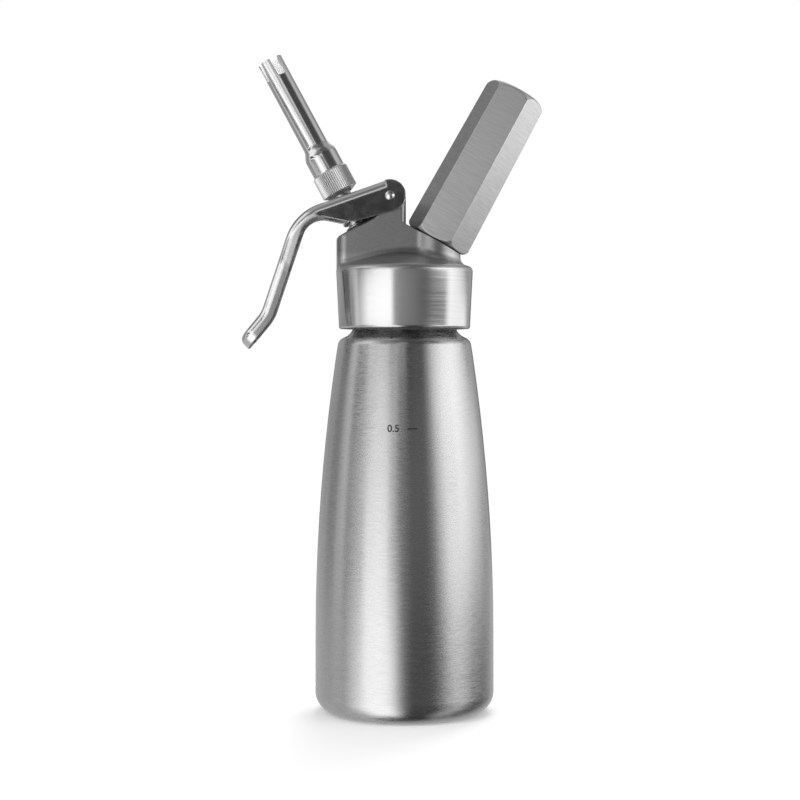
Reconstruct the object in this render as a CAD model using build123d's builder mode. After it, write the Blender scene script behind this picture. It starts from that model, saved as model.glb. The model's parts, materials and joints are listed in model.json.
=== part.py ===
from build123d import *
from math import acos, atan2, cos, degrees, pi, radians, sin, tan
import os

# Cream whipper: a drawn bottle, a screwed-on head with a lever valve, a decorator tip and a charger holder.
# +Z is up and the origin is the centre of the base.
# The tip and the lever lean to -X, the charger holder to +X.

# Driving dimensions, in millimetres and degrees

# Bottle
body_diameter = 77.0
body_straight_height = 30.3
base_corner_round = 8.7
base_ring_width = 5.0
base_dish_height = 3.0
base_dish_run = 4.0
base_dish_round = 2.0
shoulder_diameter = 57.1
shoulder_height = 159.9
shoulder_round = 4.0
shoulder_slope = 27.4
neck_diameter = 44.0
neck_length = 21.1
neck_root_round = 6.0
bottle_wall = 0.8
rim_round = 0.3

# Head gasket and collar
gasket_thickness = 3.0
gasket_width = 3.6
collar_top_diameter = 59.2
collar_bottom_diameter = 56.6
collar_edge_round = 2.2
collar_lip_round = 1.0
collar_gap = 1.6
crown_thickness = 3.8
crown_slope = 18.0
skirt_relief_width = 2.0
skirt_relief_depth = 5.0

# Lever post and foot of the cast body
post_left_reach = 6.5
post_right_reach = 6.8
post_above_pin = 4.0
post_corner_round = 3.5
foot_round = 3.5
boss_corner_round = 4.0
boss_blend_round = 5.0
boss_edge_round = 1.5
boss_setback = 0.2

# Valve: heights along its axis count from where that axis crosses the bottle's axis
valve_tilt = 28.3
valve_axis_drop = 15.0
valve_face_height = 41.6
spring_well_depth = 6.0
o_ring_room = 2.5
throat_length = 3.5
seat_wall = 0.5
stem_diameter = 8.0
stem_bore_diameter = 5.2
cross_hole_diameter = 2.8
bush_wall = 1.45
throat_gap = 0.9
piston_flange_diameter = 12.6
piston_flange_thickness = 2.0
piston_seal_thickness = 2.4
piston_nose_length = 1.0
pocket_gap = 0.7
nut_wall = 1.5
nut_thickness = 3.0
nut_chamfer = 0.5
nut_crown_slope = 30.0
lever_press_gap = 0.25
spring_wire = 1.1
spring_coil_diameter = 10.5
spring_turns = 6
spring_end_gap = 0.1

# Decorator tip
tip_gap = 1.6
ring_diameter = 16.0
ring_height = 9.9
ring_chamfer = 0.8
ring_cone_depth = 1.5
ring_cone_diameter = 10.0
ring_thread_length = 5.6
knurl_ridges = 54
knurl_depth = 0.35
tip_gasket_thickness = 1.2
tip_foot_diameter = 14.3
tip_foot_height = 6.9
tip_ogee_height = 6.2
tip_tube_diameter = 10.9
tip_tube_height = 41.1
tip_wall = 0.8
tip_foot_wall = 1.9
tip_spigot_step = 0.95
tip_gasket_hole = 6.0
tip_slot_depth = 8.1
tip_slot_mouth = 4.0
tip_slot_floor = 3.4
tip_slot_round = 0.8
tip_slot_turn = 23.0

# Lever
pivot_offset = 6.2
pivot_rise = 34.3
lever_width = 22.0
lever_sheet = 1.2
lever_side_gap = 0.3
lever_ear_radius = 6.8
lever_plate_slope = 19.5
lever_plate_length = 41.3
lever_bend_round = 23.0
lever_handle_slope = 18.4
lever_handle_length = 44.75
lever_handle_width = 17.0
lever_handle_depth = 5.5
lever_flare_slope = 39.6
lever_flare_length = 15.3
lever_flare_round = 14.0
lever_cheek_reach = 19.4
lever_cheek_depth = 12.3
lever_cheek_round = 12.0
lever_cheek_rise = 31.0
lever_neck_round = 9.0
lever_edge_round = 3.2
lever_taper_start = 29.0
lever_taper_length = 24.0
lever_taper_round = 30.0
lever_tip_round = 7.0
lever_view_slope = 45.0
stem_slot_length = 12.4
stem_slot_shift = 0.6
stem_slot_gap = 0.7
pin_diameter = 3.0
pin_head_diameter = 4.2
pin_head_height = 1.0
pin_head_gap = 0.2

# Gas inlet: heights along its axis count from where that axis crosses the bottle's axis
charger_tilt = 28.7
charger_axis_drop = 9.5
charger_face_height = 28.0
charger_boss_diameter = 24.6
stub_length = 9.2
stub_wall = 0.95
cup_diameter = 10.4
retainer_diameter = 9.9
retainer_thickness = 2.4
retainer_hole_diameter = 1.6
retainer_hole_circle = 5.6
retainer_holes = 4
retainer_set_in = 0.3
flap_diameter = 8.4
flap_thickness = 1.0
flap_play = 0.4
passage_diameter = 3.2
passage_length = 2.0
pin_body_diameter = 7.9
pin_body_length = 7.9
pin_ring_section = 1.3
pin_flange_thickness = 1.8
charger_seal_thickness = 2.2
needle_diameter = 2.2
needle_tip_diameter = 1.3
needle_length = 4.0
needle_cone_length = 1.5
needle_bore_diameter = 0.8

# Charger holder, for one 8 g gas charger
charger_length = 65.5
charger_diameter = 18.0
charger_play = 0.3
bay_clearance = 0.25
holder_across_flats = 25.6
holder_draft = 0.82
holder_turn = 6.0
holder_ridge_round = 0.5
holder_end_wall = 3.3
holder_seat_round = 4.0
holder_top_round = 5.0
holder_blank_margin = 0.2
holder_seat_gap = 0.2

# Clearances
seat_gap = 0.1
thread_gap = 0.2
neck_thread_gap = 0.4
press_gap = 0.02
shaft_gap = 0.05

# Places worked out from the driving dimensions

body_radius = body_diameter / 2
neck_radius = neck_diameter / 2
neck_foot_height = shoulder_height + (shoulder_diameter - neck_diameter) / 2 * tan(radians(shoulder_slope))
rim_height = neck_foot_height + neck_length
head_ceiling = rim_height + seat_gap + gasket_thickness
collar_bottom = neck_foot_height + collar_gap
collar_top = head_ceiling + crown_thickness
collar_radius = collar_top_diameter / 2
head_bore_radius = neck_radius + neck_thread_gap

valve_frame = Plane(
    origin=(0, 0, head_ceiling - valve_axis_drop),
    x_dir=(cos(radians(valve_tilt)), 0, sin(radians(valve_tilt))),
    z_dir=(-sin(radians(valve_tilt)), 0, cos(radians(valve_tilt))),
)
valve_line = Axis(valve_frame.origin, valve_frame.z_dir)
valve_section = Plane(valve_frame.origin, x_dir=valve_frame.x_dir, z_dir=-valve_frame.y_dir)

charger_frame = Plane(
    origin=(0, 0, head_ceiling - charger_axis_drop),
    x_dir=(cos(radians(charger_tilt)), 0, -sin(radians(charger_tilt))),
    z_dir=(sin(radians(charger_tilt)), 0, cos(radians(charger_tilt))),
)
charger_line = Axis(charger_frame.origin, charger_frame.z_dir)
charger_section = Plane(charger_frame.origin, x_dir=charger_frame.x_dir, z_dir=-charger_frame.y_dir)


def heading(angle):
    """Returns the unit vector at an angle from +X towards +Z, in the symmetry plane."""
    return Vector(cos(radians(angle)), sin(radians(angle)))


def crossing(start, along, other, other_along):
    """Returns the point where two lines of the symmetry plane cross."""
    between = other - start
    turn = along.X * other_along.Y - along.Y * other_along.X
    return start + along * ((between.X * other_along.Y - between.Y * other_along.X) / turn)


def outline(plane, *points):
    """Returns a straight-sided face on a plane."""
    with BuildSketch(plane) as face:
        with BuildLine():
            Polyline(*points, close=True)
        make_face()
    return face.sketch


def ring_section(plane, inner, outer, low, high):
    """Returns the rectangle that turns into a ring, on a plane with radius across and height up."""
    return outline(plane, (inner, low), (outer, low), (outer, high), (inner, high))


# Lever places in the symmetry plane, from the pin along the plate and down the handle
pivot = Vector(-pivot_offset, head_ceiling + pivot_rise)
plate_along = heading(180 + lever_plate_slope)
plate_up = heading(90 + lever_plate_slope)
handle_along = heading(270 - lever_handle_slope)
handle_inward = heading(360 - lever_handle_slope)
flare_along = heading(270 - lever_flare_slope)
flare_inward = heading(360 - lever_flare_slope)
plate_start = pivot + plate_up * lever_ear_radius
bend_corner = plate_start + plate_along * lever_plate_length
flare_corner = bend_corner + handle_along * lever_handle_length
tip_corner = flare_corner + flare_along * lever_flare_length
cheek_corner = pivot + plate_along * lever_cheek_reach + plate_up * (lever_ear_radius - lever_cheek_depth)
slab_width = lever_width - 2 * lever_sheet - 2 * lever_side_gap
post_edge_round = lever_edge_round - lever_sheet + lever_side_gap

# Valve stack, from the seat inside the head outwards
stem_radius = stem_diameter / 2
pocket_radius = piston_flange_diameter / 2 + pocket_gap
valve_rise = tan(radians(valve_tilt))
seat_height = (valve_axis_drop / cos(radians(valve_tilt))) + pocket_radius * valve_rise + seat_wall
throat_radius = stem_radius + throat_gap
bush_bore_radius = stem_radius + bush_wall
throat_top = seat_height + throat_length
well_floor = valve_face_height - spring_well_depth
well_radius = (spring_coil_diameter + spring_wire) / 2 + thread_gap + lever_side_gap


def plate_height(across, depth):
    """Returns the height, along the valve's axis, of the lever's plate at a distance across that axis."""
    point = valve_frame.to_local_coords(Vector(plate_start.X, 0, plate_start.Y))
    lean = radians(valve_tilt - lever_plate_slope)
    return point.Z - depth / cos(lean) + (point.X - across) * tan(lean)


nut_flat_radius = stem_radius + nut_wall
nut_corner_radius = nut_flat_radius / cos(pi / 6)
nut_crown_radius = nut_flat_radius - nut_chamfer
nut_top = plate_height(nut_wall, lever_sheet) - lever_press_gap
nut_bottom = nut_top - nut_thickness
ring_bottom = plate_height(-ring_diameter / 2, 0) + tip_gap
ring_floor = ring_bottom + ring_thread_length
ring_foot = ring_bottom - ring_cone_depth
ring_top = ring_bottom + ring_height
stem_top = ring_floor - seat_gap
tip_foot_top = ring_top + tip_foot_height
tip_ogee_top = tip_foot_top + tip_ogee_height
tip_top = tip_ogee_top + tip_tube_height

# Gas inlet stack, from the retainer inside the head outwards
bay_radius = charger_diameter / 2 + bay_clearance
stub_radius = bay_radius + stub_wall
cup_radius = cup_diameter / 2
retainer_radius = retainer_diameter / 2
inlet_rise = tan(radians(charger_tilt))
inlet_start = charger_axis_drop / cos(radians(charger_tilt)) + retainer_radius * inlet_rise
retainer_bottom = inlet_start + retainer_set_in
retainer_top = retainer_bottom + retainer_thickness
check_seat = retainer_top + flap_play + flap_thickness
pin_bottom = check_seat + passage_length
cup_floor = pin_bottom + pin_body_length
flange_bottom = cup_floor + pin_ring_section
flange_top = flange_bottom + pin_flange_thickness
charger_seat = flange_top + charger_seal_thickness
stub_top = charger_face_height + stub_length
holder_bottom = charger_face_height + holder_seat_gap
thread_end = stub_top + holder_seat_gap
bay_end = charger_seat + charger_length + charger_play
holder_top = bay_end + holder_end_wall
boss_radius = charger_boss_diameter / 2
boss_centre = charger_face_height * sin(radians(charger_tilt))
boss_half_length = boss_radius * cos(radians(charger_tilt))
post_right = pivot.X + post_right_reach
post_left = pivot.X - post_left_reach


def face_level(frame, height, x):
    """Returns the Z of a sloped boss face, square to a tilted axis, above a place on X."""
    up = frame.z_dir
    return frame.origin.Z + (height - x * up.X) / up.Z


def write(part, name):
    """Labels a finished piece and writes it."""
    part.label = name
    export_step(part, f"parts/{name}.step")


os.makedirs("parts", exist_ok=True)

# Bottle: one drawn shell, waisted towards the shoulder, with a dished base
dish_outer = body_radius - base_corner_round - base_ring_width
shoulder_point = (shoulder_diameter / 2, shoulder_height)
with BuildPart() as bottle:
    with BuildSketch(Plane.XZ) as bottle_outline:
        with BuildLine():
            FilletPolyline(
                (0, base_dish_height),
                (dish_outer - base_dish_run, base_dish_height),
                (dish_outer, 0),
                (body_radius, 0),
                (body_radius, body_straight_height),
                radius=[base_dish_round, base_dish_round, base_corner_round],
            )
            TangentArc((body_radius, body_straight_height), shoulder_point, tangent=(0, 1))
            FilletPolyline(
                shoulder_point,
                (neck_radius, neck_foot_height),
                (neck_radius, rim_height),
                radius=[neck_root_round],
            )
            Polyline((neck_radius, rim_height), (0, rim_height), (0, base_dish_height))
        make_face()
        fillet(bottle_outline.vertices().sort_by_distance(shoulder_point)[0], shoulder_round)
    revolve(axis=Axis.Z)
    offset(amount=-bottle_wall, openings=bottle.faces().sort_by(Axis.Z)[-1])
    fillet(bottle.faces().sort_by(Axis.Z)[-1].edges(), min(rim_round, bottle_wall / 3))
write(bottle.part, "bottle")

# Head gasket: flat ring pressed between the rim and the head's ceiling
gasket_outer = neck_radius + thread_gap
with BuildPart() as head_gasket:
    with BuildSketch(Plane.XY.offset(rim_height + seat_gap)):
        Circle(gasket_outer)
        Circle(gasket_outer - gasket_width, mode=Mode.SUBTRACT)
    extrude(amount=gasket_thickness - seat_gap / 2)
write(head_gasket.part, "head_gasket")

# Head casting: upright walls cut by two sloped boss faces, on a conical crown and a screwed collar
crown_peak = collar_top + collar_radius * tan(radians(crown_slope))
body_root = collar_top - collar_edge_round - collar_lip_round
slab_end = collar_radius - boss_setback
post_top = pivot.Y + post_above_pin
outside = collar_radius + collar_edge_round
relief_radius = head_bore_radius + skirt_relief_width
with BuildPart() as head_casting:
    with BuildSketch(Plane.XY.offset(body_root)) as plan:
        with Locations(((boss_centre - slab_end) / 2, 0)):
            Rectangle(boss_centre + slab_end, slab_width)
        Circle(slab_end, mode=Mode.INTERSECT)
        with Locations((boss_centre, 0)):
            Ellipse(boss_half_length, boss_radius)
        blend_points = plan.vertices().filter_by_position(Axis.X, 0, outside).filter_by_position(
            Axis.Y, -boss_radius, boss_radius
        )
        fillet(blend_points.group_by(Axis.X)[0], boss_blend_round)
        fillet(plan.vertices().group_by(Axis.X)[0], boss_corner_round)
    extrude(amount=post_top - body_root + collar_edge_round)
    with BuildSketch(Plane.XZ) as side:
        with BuildLine():
            FilletPolyline(
                (-outside, body_root),
                (-outside, face_level(valve_frame, valve_face_height, -outside)),
                (post_left, face_level(valve_frame, valve_face_height, post_left)),
                (post_left, post_top),
                (post_right, post_top),
                (post_right, face_level(charger_frame, charger_face_height, post_right)),
                (outside, face_level(charger_frame, charger_face_height, outside)),
                (outside, body_root),
                radius=[0, 0, 0, post_corner_round, post_corner_round, 0, 0, 0],
                close=True,
            )
        make_face()
    extrude(amount=outside, both=True, mode=Mode.INTERSECT)
    fillet(head_casting.faces().sort_by(Axis.Z)[-1].edges().filter_by(Axis.X), post_edge_round)
    with BuildSketch(Plane.XZ) as collar_outline:
        with BuildLine():
            FilletPolyline(
                (relief_radius, collar_bottom),
                (collar_bottom_diameter / 2, collar_bottom),
                (collar_radius, collar_top),
                (0, crown_peak),
                (0, head_ceiling),
                (head_bore_radius, head_ceiling),
                (head_bore_radius, collar_bottom + skirt_relief_depth),
                (relief_radius, collar_bottom + skirt_relief_depth - skirt_relief_width),
                radius=[0, collar_lip_round, collar_edge_round, 0, 0, 0, 0, 0],
                close=True,
            )
        make_face()
    revolve(axis=Axis.Z)
    fillet(head_casting.edges(Select.NEW), foot_round)
    face_centre = valve_frame.from_local_coords((0, 0, valve_face_height))
    valve_face = head_casting.faces().sort_by_distance(face_centre)[0]
    fillet(valve_face.edges().sort_by(Axis.X)[:-1], boss_edge_round)
    with BuildSketch(charger_frame.offset(charger_face_height)):
        Circle(stub_radius)
    extrude(amount=stub_length)
    revolve(
        outline(
            valve_section,
            (0, 0),
            (pocket_radius, 0),
            (pocket_radius, seat_height),
            (throat_radius, seat_height),
            (throat_radius, throat_top),
            (bush_bore_radius, throat_top),
            (bush_bore_radius, well_floor),
            (well_radius, well_floor),
            (well_radius, valve_face_height + spring_well_depth),
            (0, valve_face_height + spring_well_depth),
        ),
        axis=valve_line,
        mode=Mode.SUBTRACT,
    )
    revolve(
        outline(
            charger_section,
            (0, 0),
            (retainer_radius + press_gap, 0),
            (retainer_radius + press_gap, check_seat),
            (passage_diameter / 2, check_seat),
            (passage_diameter / 2, pin_bottom),
            (pin_body_diameter / 2 + press_gap, pin_bottom),
            (pin_body_diameter / 2 + press_gap, cup_floor),
            (cup_radius, cup_floor),
            (cup_radius, stub_top + stub_length),
            (0, stub_top + stub_length),
        ),
        axis=charger_line,
        mode=Mode.SUBTRACT,
    )
    with BuildSketch(Plane.XZ):
        with Locations((pivot.X, pivot.Y)):
            Circle(pin_diameter / 2 + press_gap)
    extrude(amount=slab_width, both=True, mode=Mode.SUBTRACT)
write(head_casting.part, "head_casting")

# Guide bush: pressed into the valve bore, the stem slides in it
with BuildPart() as guide_bush:
    revolve(
        ring_section(
            valve_section,
            stem_radius + shaft_gap,
            bush_bore_radius - press_gap,
            throat_top + o_ring_room,
            well_floor,
        ),
        axis=valve_line,
    )
write(guide_bush.part, "guide_bush")

# Stem O-ring: sits under the bush and wipes the stem
o_ring_section = bush_wall / 2 - (shaft_gap + press_gap) / 2
with BuildPart() as piston_o_ring:
    with BuildSketch(valve_section):
        with Locations((stem_radius + shaft_gap + o_ring_section, throat_top + o_ring_room / 2)):
            Circle(o_ring_section)
    revolve(axis=valve_line)
write(piston_o_ring.part, "piston_o_ring")

# Valve piston: hollow stem with a flange at its inner end, fed through cross holes above the seal
seal_bottom = seat_height - seat_gap - piston_seal_thickness
flange_bottom_height = seal_bottom - piston_flange_thickness
cross_hole_height = (seat_height + throat_top) / 2
stem_floor = cross_hole_height - cross_hole_diameter
with BuildPart() as valve_piston:
    with BuildSketch(valve_section) as piston_outline:
        with BuildLine():
            Polyline(
                (0, flange_bottom_height - piston_nose_length),
                (stem_radius, flange_bottom_height - piston_nose_length),
                (stem_radius, flange_bottom_height),
                (piston_flange_diameter / 2, flange_bottom_height),
                (piston_flange_diameter / 2, seal_bottom),
                (stem_radius, seal_bottom),
                (stem_radius, stem_top),
                (stem_bore_diameter / 2, stem_top),
                (stem_bore_diameter / 2, stem_floor),
                (0, stem_floor),
                close=True,
            )
        make_face()
    revolve(axis=valve_line)
    cross_centre = valve_frame.from_local_coords((0, 0, cross_hole_height))
    for across in (valve_frame.x_dir, valve_frame.y_dir):
        with BuildSketch(Plane(cross_centre, z_dir=across)):
            Circle(cross_hole_diameter / 2)
        extrude(amount=stem_diameter, both=True, mode=Mode.SUBTRACT)
write(valve_piston.part, "valve_piston")

# Piston seal: thick ring on the flange, it closes the outlet from inside
with BuildPart() as piston_seal:
    revolve(
        ring_section(
            valve_section,
            stem_radius + press_gap,
            piston_flange_diameter / 2,
            seal_bottom,
            seat_height - seat_gap,
        ),
        axis=valve_line,
    )
write(piston_seal.part, "piston_seal")

# Thrust nut: the lever presses its turned crown, and the spring pushes on its underside
crown_fall = (nut_corner_radius - nut_crown_radius) * tan(radians(nut_crown_slope))
with BuildPart() as thrust_nut:
    with BuildSketch(valve_frame.offset(nut_bottom)):
        RegularPolygon(nut_flat_radius, 6, major_radius=False)
        Circle(stem_radius + press_gap, mode=Mode.SUBTRACT)
    extrude(amount=nut_thickness)
    revolve(
        outline(
            valve_section,
            (0, nut_bottom),
            (nut_corner_radius, nut_bottom),
            (nut_corner_radius, nut_top - crown_fall),
            (nut_crown_radius, nut_top),
            (0, nut_top),
        ),
        axis=valve_line,
        mode=Mode.INTERSECT,
    )
write(thrust_nut.part, "thrust_nut")

# Return spring: one wire wound round the stem, from the floor of its well to the nut
coil_radius = spring_coil_diameter / 2
coil_start = well_floor + spring_wire / 2 + spring_end_gap
coil_rise = nut_bottom - spring_wire / 2 - spring_end_gap - coil_start
coil_steps = spring_turns * 4


def coil_point(step):
    """Returns the coil's centre line after a number of quarter turns."""
    angle = step * pi / 2
    height = coil_start + coil_rise * step / coil_steps
    return valve_frame.from_local_coords(Vector(coil_radius * cos(angle), coil_radius * sin(angle), height))


def coil_heading(step):
    """Returns the coil's direction after a number of quarter turns."""
    angle = step * pi / 2
    climb = coil_rise / coil_steps / (pi / 2)
    ahead = Vector(-coil_radius * sin(angle), coil_radius * cos(angle), climb)
    return (valve_frame.from_local_coords(ahead) - valve_frame.origin).normalized()


def biarc(start, start_heading, end, end_heading):
    """Adds two arcs that leave one point and reach another in given directions."""
    chord = end - start
    both = chord.dot(start_heading + end_heading)
    bend = 2 * (1 - start_heading.dot(end_heading))
    reach = (-both + (both**2 + bend * chord.dot(chord)) ** 0.5) / bend
    first = start + start_heading * reach
    second = end - end_heading * reach
    middle = (first + second) * 0.5
    TangentArc(start, middle, tangent=start_heading)
    TangentArc(middle, end, tangent=(second - first).normalized())


with BuildPart() as return_spring:
    with BuildLine() as coil:
        for step in range(coil_steps):
            biarc(coil_point(step), coil_heading(step), coil_point(step + 1), coil_heading(step + 1))
    with BuildSketch(Plane(coil_point(0), z_dir=coil_heading(0))):
        Circle(spring_wire / 2)
    sweep(path=coil.wire())
write(return_spring.part, "return_spring")

samples = 4
coil_points = [coil_point(step / samples) for step in range(coil_steps * samples + 1)]
half_turn = 2 * samples
least_gap = min(
    (coil_points[later] - coil_points[earlier]).length - spring_wire
    for earlier in range(len(coil_points))
    for later in range(earlier + half_turn, len(coil_points))
)
wire_volume = pi * spring_wire**2 / 4 * coil.wire().length
print(f"return_spring least gap {least_gap:.2f} mm")
print(f"return_spring volume over section times length {return_spring.part.volume / wire_volume:.4f}")

# Tip ring: knurled, screwed on the stem and pressed on the foot of the tip
ring_radius = ring_diameter / 2
spigot_radius = tip_foot_diameter / 2 - tip_spigot_step
ridge_turn = 180 / knurl_ridges
ridges = [
    heading(step * ridge_turn) * (ring_radius - knurl_depth * (step % 2))
    for step in range(2 * knurl_ridges)
]
with BuildPart() as tip_ring:
    with BuildSketch(valve_frame.offset(ring_foot)):
        Polygon(*ridges, align=None)
    extrude(amount=ring_top - ring_foot)
    revolve(
        outline(
            valve_section,
            (stem_radius + thread_gap, ring_foot),
            (ring_cone_diameter / 2, ring_foot),
            (ring_radius, ring_bottom),
            (ring_radius, ring_top - ring_chamfer),
            (ring_radius - ring_chamfer, ring_top),
            (spigot_radius + press_gap, ring_top),
            (spigot_radius + press_gap, ring_floor),
            (stem_radius + thread_gap, ring_floor),
        ),
        axis=valve_line,
        mode=Mode.INTERSECT,
    )
write(tip_ring.part, "tip_ring")

# Tip gasket: flat ring between the stem's end and the tip
gasket_top = ring_floor + tip_gasket_thickness
with BuildPart() as tip_gasket:
    revolve(
        ring_section(
            valve_section,
            tip_gasket_hole / 2,
            spigot_radius - shaft_gap,
            ring_floor + press_gap,
            gasket_top - press_gap,
        ),
        axis=valve_line,
    )
write(tip_gasket.part, "tip_gasket")

# Tip tube: foot and ogee drawn down to a thin tube, with four slots at its mouth
foot_radius = tip_foot_diameter / 2
tube_radius = tip_tube_diameter / 2
tube_bore = tube_radius - tip_wall
foot_bore = foot_radius - tip_foot_wall
ogee_middle = ((foot_radius + tube_radius) / 2, tip_foot_top + tip_ogee_height / 2)
with BuildPart() as tip_tube:
    with BuildSketch(valve_section) as tube_outline:
        with BuildLine():
            Polyline(
                (foot_bore, gasket_top),
                (spigot_radius, gasket_top),
                (spigot_radius, ring_top),
                (foot_radius, ring_top),
                (foot_radius, tip_foot_top),
            )
            TangentArc((foot_radius, tip_foot_top), ogee_middle, tangent=(0, 1))
            TangentArc((tube_radius, tip_ogee_top), ogee_middle, tangent=(0, -1))
            Polyline(
                (tube_radius, tip_ogee_top),
                (tube_radius, tip_top),
                (tube_bore, tip_top),
                (tube_bore, tip_ogee_top),
                (foot_bore, tip_foot_top),
                (foot_bore, gasket_top),
            )
        make_face()
    revolve(axis=valve_line)
    mouth_centre = valve_frame.from_local_coords((0, 0, tip_top))
    for turn in (tip_slot_turn, tip_slot_turn + 90):
        outward = valve_frame.x_dir * cos(radians(turn)) + valve_frame.y_dir * sin(radians(turn))
        slot_plane = Plane(mouth_centre, x_dir=valve_frame.z_dir.cross(outward), z_dir=outward)
        with BuildSketch(slot_plane):
            with BuildLine():
                FilletPolyline(
                    (tip_slot_mouth / 2, tip_slot_depth),
                    (tip_slot_mouth / 2, 0),
                    (tip_slot_floor / 2, -tip_slot_depth),
                    (-tip_slot_floor / 2, -tip_slot_depth),
                    (-tip_slot_mouth / 2, 0),
                    (-tip_slot_mouth / 2, tip_slot_depth),
                    radius=[0, 0, tip_slot_round, tip_slot_round, 0, 0],
                    close=True,
                )
            make_face()
        extrude(amount=tip_tube_diameter, both=True, mode=Mode.SUBTRACT)
write(tip_tube.part, "tip_tube")

# Lever: stamped channel, plate and cheeks over the post, drawn out to a shallow handle with a flared end
cheek_along = heading(180 + lever_plate_slope - lever_cheek_rise)
handle_inner = bend_corner + handle_inward * lever_handle_depth
neck_corner = crossing(handle_inner, handle_along, cheek_corner, cheek_along)
cheek_reach = cheek_corner - pivot
cheek_angle = atan2(cheek_reach.Y, cheek_reach.X)
ear_angle = degrees(cheek_angle + acos(lever_ear_radius / cheek_reach.length))
ear_tangent = pivot + heading(ear_angle) * lever_ear_radius
view_along = heading(180 + lever_view_slope)
view_up = heading(90 + lever_view_slope)
view_frame = Plane(
    origin=(pivot.X, 0, pivot.Y),
    x_dir=(view_along.X, 0, view_along.Y),
    z_dir=(view_up.X, 0, view_up.Y),
)
lever_end = (tip_corner - pivot).dot(view_along)
lever_back = 2 * lever_ear_radius
lever_run_out = lever_handle_depth * 2


def mitre(corner, depth, inward, next_inward):
    """Returns the corner of two lines that are moved inwards by a depth."""
    return corner + (inward + next_inward) * (depth / (1 + inward.dot(next_inward)))


def lever_blank(inset):
    """Returns the lever's width outline along the handle, drawn in by the inset."""
    half_width = lever_width / 2 - inset
    half_handle = lever_handle_width / 2 - inset
    taper_end = lever_taper_start + lever_taper_length
    with BuildSketch(view_frame.offset(-lever_plate_length)) as blank:
        with BuildLine():
            FilletPolyline(
                (-lever_back - inset, half_width),
                (lever_taper_start, half_width),
                (taper_end, half_handle),
                (lever_end - inset, half_handle),
                (lever_end - inset, -half_handle),
                (taper_end, -half_handle),
                (lever_taper_start, -half_width),
                (-lever_back - inset, -half_width),
                radius=[
                    0,
                    lever_taper_round,
                    lever_taper_round,
                    lever_tip_round - inset,
                    lever_tip_round - inset,
                    lever_taper_round,
                    lever_taper_round,
                    0,
                ],
                close=True,
            )
        make_face()
    return blank.sketch


def web_edges(part):
    """Returns the long edges of the faces that point away from the bottle, where the sheet is bent over."""
    outward = Vector(view_up.X, 0, view_up.Y)
    web = part.faces().filter_by(lambda face: face.normal_at().dot(outward) > 0.5)
    return web.edges().filter_by(Axis.Y, reverse=True)


with BuildPart() as lever_hollow:
    with BuildSketch(Plane.XZ):
        hollow_start = plate_start - plate_up * lever_sheet - plate_along * lever_back
        hollow_end = tip_corner + flare_inward * lever_sheet + flare_along * lever_run_out
        with BuildLine():
            FilletPolyline(
                hollow_start,
                mitre(bend_corner, lever_sheet, -plate_up, handle_inward),
                mitre(flare_corner, lever_sheet, handle_inward, flare_inward),
                hollow_end,
                hollow_end + flare_inward * lever_plate_length,
                hollow_start - plate_up * lever_plate_length,
                radius=[0, lever_bend_round - lever_sheet, lever_flare_round + lever_sheet, 0, 0, 0],
                close=True,
            )
        make_face()
    extrude(amount=lever_width, both=True)
    extrude(lever_blank(lever_sheet), amount=3 * lever_plate_length, both=True, mode=Mode.INTERSECT)
    fillet(web_edges(lever_hollow), lever_edge_round - lever_sheet)

with BuildPart() as lever:
    with BuildSketch(Plane.XZ) as lever_side:
        with BuildLine():
            FilletPolyline(
                plate_start,
                bend_corner,
                flare_corner,
                tip_corner + flare_along * lever_run_out,
                tip_corner + flare_along * lever_run_out + flare_inward * lever_handle_depth,
                mitre(flare_corner, lever_handle_depth, handle_inward, flare_inward),
                neck_corner,
                cheek_corner,
                ear_tangent,
                radius=[
                    0,
                    lever_bend_round,
                    lever_flare_round,
                    0,
                    0,
                    lever_flare_round + lever_handle_depth,
                    lever_neck_round,
                    lever_cheek_round,
                    0,
                ],
                close=True,
            )
        make_face()
    extrude(amount=lever_width, both=True)
    extrude(lever_blank(0), amount=3 * lever_plate_length, both=True, mode=Mode.INTERSECT)
    fillet(web_edges(lever), lever_edge_round)
    add(lever_hollow.part, mode=Mode.SUBTRACT)
    for side in (-1, 1):
        with BuildSketch(Plane.XZ.offset(side * (lever_width - lever_sheet) / 2)):
            with Locations((pivot.X, pivot.Y)):
                Circle(lever_ear_radius)
            add(lever_side.sketch_local, mode=Mode.SUBTRACT)
        extrude(amount=lever_sheet / 2, both=True)
    with BuildSketch(Plane.XZ):
        with Locations((pivot.X, pivot.Y)):
            Circle(pin_diameter / 2 + shaft_gap)
    extrude(amount=lever_width, both=True, mode=Mode.SUBTRACT)
    plate_centre = valve_frame.from_local_coords((0, 0, plate_height(0, lever_sheet / 2)))
    plate_frame = Plane(
        origin=plate_centre,
        x_dir=(-plate_along.X, 0, -plate_along.Y),
        z_dir=(plate_up.X, 0, plate_up.Y),
    )
    with BuildSketch(plate_frame):
        with Locations((stem_slot_shift, 0)):
            SlotOverall(stem_slot_length, stem_diameter + 2 * stem_slot_gap)
    extrude(amount=lever_sheet, both=True, mode=Mode.SUBTRACT)
write(lever.part, "lever")

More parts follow.
